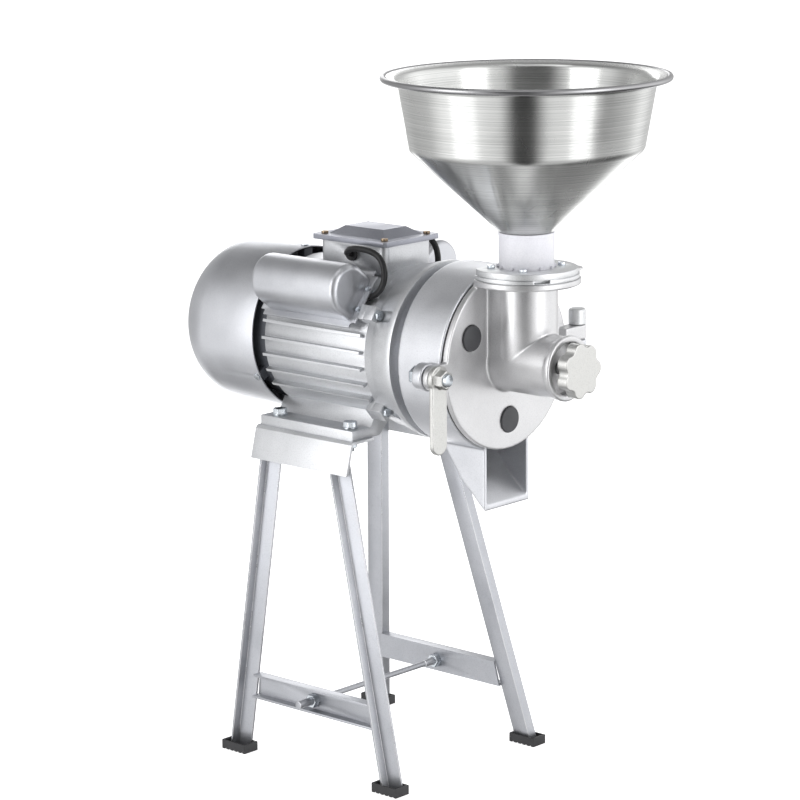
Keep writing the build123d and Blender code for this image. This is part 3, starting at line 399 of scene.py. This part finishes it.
black_rubber = moulded("black_rubber", (0.018, 0.018, 0.020), (0.040, 0.040, 0.043), 0.62, 0.0009, 0.00008)
black_plastic = moulded("black_plastic", (0.012, 0.012, 0.013), (0.026, 0.026, 0.028), 0.42, 0.0010,
                        0.00004)
plug_rubber = moulded("plug_rubber", (0.035, 0.036, 0.040), (0.062, 0.063, 0.068), 0.55, 0.0010, 0.00006)
lead_rubber = moulded("lead_rubber", (0.014, 0.014, 0.015), (0.030, 0.030, 0.032), 0.36, 0.0016, 0.00003)
lead_rubber.node_tree.nodes["Principled BSDF"].inputs["Specular IOR Level"].default_value = 0.28
white_plastic = moulded("white_plastic", (0.70, 0.70, 0.75), (0.74, 0.74, 0.78), 0.38, 0.0015, 0.00001, 0.0)
can_plastic = moulded("can_plastic", (0.80, 0.80, 0.78), (0.88, 0.88, 0.86), 0.40, 0.0012, 0.00002)
floor_paper = moulded("floor_paper", (0.90, 0.90, 0.905), (0.92, 0.92, 0.925), 0.85, 0.004, 0.00001)
floor_shader = floor_paper.node_tree.nodes["Principled BSDF"]
floor_shader.inputs["Emission Color"].default_value = (1.0, 1.0, 1.0, 1)
floor_shader.inputs["Emission Strength"].default_value = 0.80
floor.data.materials.append(floor_paper)
print("plastic and rubber finishes made")

# %% [markdown]
# A CAD node has razor edges and a faceted skin. The node itself stays as it is, so its mesh
# is copied into a new piece that rides on the same body and stands for it. Three ways of
# softening follow: a narrow bevel for sheet and machined parts, a voxel skin for
# castings whose walls flow into each other, and pieces built from an outline.

# %% Helpers that turn a node into a finished piece


def link_piece(name, mesh, node, material):
    """Puts a mesh in the scene as the piece that stands for a node."""
    piece = bpy.data.objects.new(name, mesh)
    bpy.context.scene.collection.objects.link(piece)
    mesh.materials.clear()
    mesh.materials.append(material)
    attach(piece, body_of[node])
    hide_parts(node)
    return piece


def welded_copy(node):
    """The node's mesh with its seams joined and its flat faces whole."""
    mesh = bpy.data.meshes.new(node + "_finished")
    work = bmesh.new()
    work.from_mesh(nodes[node].data)
    bmesh.ops.remove_doubles(work, verts=work.verts, dist=2e-6)
    bmesh.ops.dissolve_limit(work, angle_limit=radians(0.6), verts=work.verts, edges=work.edges)
    work.to_mesh(mesh)
    work.free()
    return mesh


def settle(piece):
    """Applies a piece's modifiers."""
    shaped = bpy.data.meshes.new_from_object(piece.evaluated_get(bpy.context.evaluated_depsgraph_get()))
    piece.modifiers.clear()
    old, piece.data = piece.data, shaped
    bpy.data.meshes.remove(old)


def bevelled(node, material, width, edge=None, segments=2, sharp=28):
    """A piece with every sharp edge rounded over by width metres; a given edge material paints a highlight
    on the rounds.
    """
    piece = link_piece(node + "_finished", welded_copy(node), node, material)
    bevel = piece.modifiers.new("edges", "BEVEL")
    bevel.width, bevel.segments = width, segments
    bevel.limit_method, bevel.angle_limit = "ANGLE", radians(sharp)
    bevel.miter_outer = "MITER_ARC"
    if edge:
        piece.data.materials.append(edge)
        bevel.material = 1
    settle(piece)
    piece.data.shade_smooth()
    piece.data.set_sharp_from_angle(angle=radians(32))
    return piece


def cast_skin(node, material, voxel, rounds):
    """A piece whose walls flow together as in a casting."""
    piece = link_piece(node + "_finished", welded_copy(node), node, material)
    remesh = piece.modifiers.new("skin", "REMESH")
    remesh.mode, remesh.voxel_size = "VOXEL", voxel
    soften = piece.modifiers.new("soften", "SMOOTH")
    soften.factor, soften.iterations = 0.5, rounds
    settle(piece)
    piece.data.shade_smooth()
    return piece


def lathe(profile, centre, axis, steps=144):
    """A mesh spun from (radius, height) points about an axis through centre."""
    along = Vector(axis)
    side = Vector((0, 1, 0)) if abs(along.x) > 0.5 else Vector((1, 0, 0))
    other = along.cross(side)
    verts, faces = [], []
    for k in range(steps):
        out = side * cos(2 * pi * k / steps) + other * sin(2 * pi * k / steps)
        verts += [centre + out * r + along * h for r, h in profile]
    count = len(profile)
    for k in range(steps):
        here, there = k * count, (k + 1) % steps * count
        for j in range(count):
            step = (j + 1) % count
            faces.append((here + j, there + j, there + step, here + step))
    mesh = bpy.data.meshes.new("lathe")
    mesh.from_pydata(verts, [], faces)
    mesh.shade_smooth()
    work = bmesh.new()
    work.from_mesh(mesh)
    bmesh.ops.remove_doubles(work, verts=work.verts, dist=1e-6)
    bmesh.ops.recalc_face_normals(work, faces=work.faces)
    work.to_mesh(mesh)
    work.free()
    return mesh


def eased(points, reach, steps=4):
    """Rounds each corner of a closed outline, starting reach before it; reach may be a list."""
    reaches = reach if isinstance(reach, list) else [reach] * len(points)
    smooth = []
    for k, (corner, size) in enumerate(zip(points, reaches)):
        before, here, after = (Vector(points[k - 1]), Vector(corner), Vector(points[(k + 1) % len(points)]))
        start = here + (before - here).normalized() * min(size, (before - here).length * 0.45)
        end = here + (after - here).normalized() * min(size, (after - here).length * 0.45)
        for j in range(steps + 1):
            t = j / steps
            smooth.append(start * (1 - t) ** 2 + here * 2 * t * (1 - t) + end * t ** 2)
    return [tuple(p) for p in smooth]


print("helpers ready")

# %% [markdown]
# The hopper is a spun sheet: a bowl that opens slightly, a straight cone, a short
# sleeve inside the neck, and a rim rolled over a wire. Spinning leaves a small radius
# at each change of direction. A turned outline with eased corners gives exactly that.

# %% Hopper
hopper_low, hopper_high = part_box("hopper")
feed_line = (hopper_low + hopper_high) / 2
neck_low, neck_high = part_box("hopper_neck")
sheet = 0.0012
roll = 0.003
rim_radius = (hopper_high.x - hopper_low.x) / 2 - roll
bowl_top = hopper_high.z - 2 * roll
bowl_bottom = bowl_top - 0.067
bowl_r_top, bowl_r_low = 0.1278, 0.1160
neck_radius = 0.0275
sleeve = 0.0236
rim_meets = bowl_top + roll + 0.0008
slant_wall = 0.0014
outside = [
    (sleeve, hopper_low.z), (sleeve, neck_high.z), (neck_radius - 0.0006, neck_high.z + 0.0002),
    (bowl_r_low, bowl_bottom), (bowl_r_top, bowl_top), (rim_radius - roll, rim_meets),
    (rim_radius - roll, rim_meets + sheet),
    (bowl_r_top - slant_wall, bowl_top + sheet + 0.0010), (bowl_r_low - slant_wall, bowl_bottom + 0.0006),
    (neck_radius - 0.002, neck_high.z + 0.0016), (sleeve - sheet, neck_high.z),
    (sleeve - sheet, hopper_low.z),
]
corner_reach = [0.0003, 0.001, 0.001, 0.004, 0.004, 0.0003, 0.0003, 0.004, 0.004, 0.001, 0.001, 0.0003]
hopper_axis = Vector((feed_line.x, feed_line.y, 0))
hopper_mesh = lathe(eased(outside, corner_reach), hopper_axis, (0, 0, 1), 192)
link_piece("hopper_spun", hopper_mesh, "hopper", spun_stainless)
curl_steps = 20
turns = [2 * pi * k / curl_steps for k in range(curl_steps)]
curl = [(rim_radius + roll * cos(turn), bowl_top + roll + roll * sin(turn)) for turn in turns]
# The rolled rim takes the darker copy of the stainless: painted shade.
link_piece("hopper_rim", lathe(curl, hopper_axis, (0, 0, 1), 192), "hopper", rim_stainless_painted_shade)
print("hopper", round(2 * rim_radius, 3), "m across the rim")

# %% [markdown]
# The neck is a plain white plastic ring, with a small lip where the hopper sits and
# a row of grip pips round its foot that lock it in the flange.

# %% Neck
neck_bore = 0.024
plate_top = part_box("gate_top_plate")[1].z
neck_outline = [
    (neck_bore, neck_low.z), (neck_radius, neck_low.z), (neck_radius, neck_high.z - 0.0035),
    (neck_radius + 0.0004, neck_high.z - 0.0030), (neck_radius + 0.0004, neck_high.z),
    (neck_bore, neck_high.z),
]
neck_mesh = lathe(eased(neck_outline, 0.0006), hopper_axis, (0, 0, 1))
link_piece("neck_ring", neck_mesh, "hopper_neck", white_plastic)
pip_count, pip_size = 12, Vector((0.003, 0.0024, 0.003))
first_pip, pip_out = radians(10), 0.0008
pips = bmesh.new()
for k in range(pip_count):
    angle = 2 * pi * k / pip_count + first_pip
    place = Matrix.Rotation(angle, 4, "Z") @ Matrix.Translation((neck_radius + pip_out, 0, 0))
    place = Matrix.Translation((feed_line.x, feed_line.y, plate_top + pip_size.z / 2)) @ place
    bmesh.ops.create_cube(pips, size=1.0, matrix=place @ Matrix.Diagonal((*pip_size, 1)))
bmesh.ops.bevel(pips, geom=pips.edges[:], offset=0.0005, segments=2, affect="EDGES")
pip_mesh = bpy.data.meshes.new("neck_pips")
pips.to_mesh(pip_mesh)
pips.free()
link_piece("neck_pips", pip_mesh, "hopper_neck", white_plastic)
print("neck with", pip_count, "pips")

# %% [markdown]
# The grinding head is two castings, the drum and its hinged cover. The knob, the lever and
# the hinge's cap are cast too. A casting has no sharp inside corners: the feed pipe flows
# into the nose and the cover through soft fillets. A voxel skin, smoothed a few times,
# makes such fillets everywhere at once.

# %% Cast head
front_cover = cast_skin("front_cover", cover_silver, 0.0009, 9)
mill_housing = cast_skin("mill_housing", drum_silver, 0.0011, 7)
cast_skin("star_knob", nickel, 0.0006, 5)
cast_skin("clamp_lever", nickel, 0.0006, 5)
cast_skin("hinge_pin", plate_silver, 0.0005, 3)
print("cover", len(front_cover.data.polygons), "faces, drum", len(mill_housing.data.polygons))

# %% [markdown]
# The motor's frame and shields are castings too, but their fins and lugs are thin, so
# a bevel keeps them crisp. The same bevel suits bent sheet, angle steel and machined parts,
# each with the width its own making leaves.

# %% Bevelled pieces
finishes = {
    cast_silver: {"stator_frame": 0.0009, "front_end_shield": 0.0012, "terminal_box": 0.0010},
    # The rear end shield takes the near black painted shade of the cowl gap.
    painted_gap_shade: {"rear_end_shield": 0.0010},
    lid_silver: {"terminal_box_lid": 0.0009},
    sheet_silver: {"fan_cowl": 0.0005},
    plate_silver: {"gate_top_plate": 0.0008, "gate_guide": 0.0006},
    sheet_stainless: {"slide_gate": 0.0004},
    ground_steel: {"adjusting_spindle": 0.0005, "thrust_pin": 0.0004, "motor_shaft": 0.0004,
                   "shaft_bearings": 0.0002, "rotating_disc_screws": 0.0003, "fixed_disc_screws": 0.0003},
    zinc: {"end_shield_bolts": 0.0004, "cowl_screws": 0.0004, "capacitor_cover_screws": 0.0004,
           "housing_bolts": 0.0004, "flange_screws": 0.0004, "clamp_bolt": 0.0006, "tie_rod_nuts": 0.0006,
           "motor_foot_bolts": 0.0006},
    brass: {"lid_screws": 0.0004},
    stand_silver: {"near_rear_leg": 0.0006, "near_front_leg": 0.0006, "far_rear_leg": 0.0006,
                   "far_front_leg": 0.0006, "cross_rails": 0.0006, "tie_rod": 0.0004},
    bracket_silver: {"foot_brackets": 0.0009},
    black_rubber: {"rubber_feet": 0.0008, "lid_gasket": 0.0002, "cover_gasket": 0.0002,
                   "shaft_seal": 0.0003, "lead_grommets": 0.0006},
    plug_rubber: {"cover_plugs": 0.0009},
    black_plastic: {"cooling_fan": 0.0003, "cable_gland": 0.0006, "terminal_block": 0.0005},
    iron: {"disc_carrier": 0.0005, "rotating_grinding_disc": 0.0004, "fixed_grinding_disc": 0.0004,
           "feed_auger": 0.0004},
    lamination: {"stator_core": 0.0002, "rotor_core": 0.0002},
    copper: {"stator_winding": 0.0020},
    can_plastic: {"capacitors": 0.0012},
}
# Silver parts listed here get the painted highlight copy on their bevelled rounds.
takes_painted_highlight = {cast_silver, lid_silver, plate_silver, stand_silver, bracket_silver}
for material, widths in finishes.items():
    for node, width in widths.items():
        bevelled(node, material, width, painted_highlight_silver if material in takes_painted_highlight else None)
print(sum(len(widths) for widths in finishes.values()), "nodes bevelled")

# %% [markdown]
# Each capacitor sits under a pressed cover: a D-shaped tunnel whose end walls roll in
# with a generous radius, on a flat flange. Rings of the D section, drawn in near each end,
# give the rolled press mark that a bevelled box would miss.

# %% Capacitor covers
press_radius = 0.0065
cover_lip = 0.007
cover_sheet = 0.002
tunnel_half, tunnel_rise, tunnel_base = 0.026, 0.020, 0.088
shaft_height = 0.441


def tunnel_ring(x, inset):
    """One D section of the tunnel, drawn in by inset."""
    half = tunnel_half - inset
    ring = [(x, tunnel_base, -half)]
    arc_steps = 28
    for k in range(arc_steps + 1):
        angle = -pi / 2 + pi * k / arc_steps
        ring.append((x, tunnel_base + tunnel_rise + half * cos(angle), half * sin(angle)))
    ring.append((x, tunnel_base, half))
    return ring


def pressed_cover(node, angle):
    """The tunnel and its flange, turned about the shaft to where the cover sits."""
    low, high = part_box(node)
    x0, x1 = low.x + cover_lip, high.x - cover_lip
    stations = []
    turn_steps = 7
    for k in range(turn_steps + 1):
        sweep = pi / 2 * k / turn_steps
        stations.append((press_radius * (1 - cos(sweep)), press_radius * (1 - sin(sweep))))
    rings = [(x0 + along, inset) for along, inset in stations]
    rings += [(x1 - along, inset) for along, inset in reversed(stations)]
    work = bmesh.new()
    made = [[work.verts.new(p) for p in tunnel_ring(x, inset)] for x, inset in rings]
    for ring, following in zip(made, made[1:]):
        for k in range(len(ring)):
            step = (k + 1) % len(ring)
            work.faces.new((ring[k], ring[step], following[step], following[k]))
    work.faces.new(list(reversed(made[0])))
    work.faces.new(made[-1])
    lip_half = tunnel_half + cover_lip
    size = Vector((x1 - x0 + 2 * cover_lip, cover_sheet, 2 * lip_half))
    middle = Matrix.Translation(((x0 + x1) / 2, tunnel_base + cover_sheet / 2, 0))
    place = middle @ Matrix.Diagonal((*size, 1))
    flange = bmesh.ops.create_cube(work, size=1.0, matrix=place)
    corner_edges = [e for v in flange["verts"] for e in v.link_edges
                    if abs(e.verts[0].co.y - e.verts[1].co.y) > cover_sheet / 2]
    bmesh.ops.bevel(work, geom=list(set(corner_edges)), offset=0.006, segments=5, affect="EDGES")
    bmesh.ops.recalc_face_normals(work, faces=work.faces)
    turn = Matrix.Translation((0, 0, shaft_height)) @ Matrix.Rotation(radians(angle), 4, "X")
    bmesh.ops.transform(work, matrix=turn, verts=work.verts)
    mesh = bpy.data.meshes.new(node)
    work.to_mesh(mesh)
    work.free()
    piece = link_piece(node + "_pressed", mesh, node, sheet_silver)
    edge = piece.modifiers.new("edges", "BEVEL")
    edge.width, edge.segments, edge.limit_method = 0.0005, 2, "ANGLE"
    edge.angle_limit = radians(50)
    settle(piece)
    piece.data.shade_smooth()
    piece.data.set_sharp_from_angle(angle=radians(35))
    return piece


near_angle = 142.0
pressed_cover("near_capacitor_cover", near_angle)
pressed_cover("far_capacitor_cover", 180 - near_angle)
print("two pressed covers")

# %% [markdown]
# Two short black leads run from the terminal box to the capacitors. They are round cable held
# at both ends, so a smooth curve through the air with a round bevel is enough. The points
# are the same as those the leads were laid out with, in metres.

# %% Leads
lead_radius = 0.0032
feed_ahead = 0.2255
shift = Vector((feed_line.x - feed_ahead, 0, shaft_height))
near_route = [
    (0.024, -0.034, 0.093), (0.024, -0.048, 0.093), (0.046, -0.059, 0.105), (0.084, -0.058, 0.101),
    (0.093, -0.060, 0.075), (0.078, -0.0636, 0.0547), (0.058, -0.0636, 0.0547),
]
far_route = [
    (0.024, 0.034, 0.093), (0.024, 0.047, 0.093), (0.040, 0.058, 0.104), (0.060, 0.054, 0.092),
    (0.056, 0.060, 0.066), (0.050, 0.0636, 0.0547), (0.036, 0.0636, 0.0547),
]


def lead(node, route):
    curve = bpy.data.curves.new(node, "CURVE")
    curve.dimensions = "3D"
    spline = curve.splines.new("NURBS")
    spline.points.add(len(route) - 1)
    for point, place in zip(spline.points, route):
        point.co = (*(Vector(place) + shift), 1)
    spline.order_u = 3
    spline.use_endpoint_u = True
    spline.resolution_u = 16
    curve.bevel_depth = lead_radius
    curve.bevel_resolution = 6
    curve.materials.append(lead_rubber)
    piece = bpy.data.objects.new(node + "_cable", curve)
    bpy.context.scene.collection.objects.link(piece)
    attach(piece, body_of[node])
    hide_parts(node)
    return piece


lead("near_capacitor_lead", near_route)
lead("far_capacitor_lead", far_route)
print("two leads")
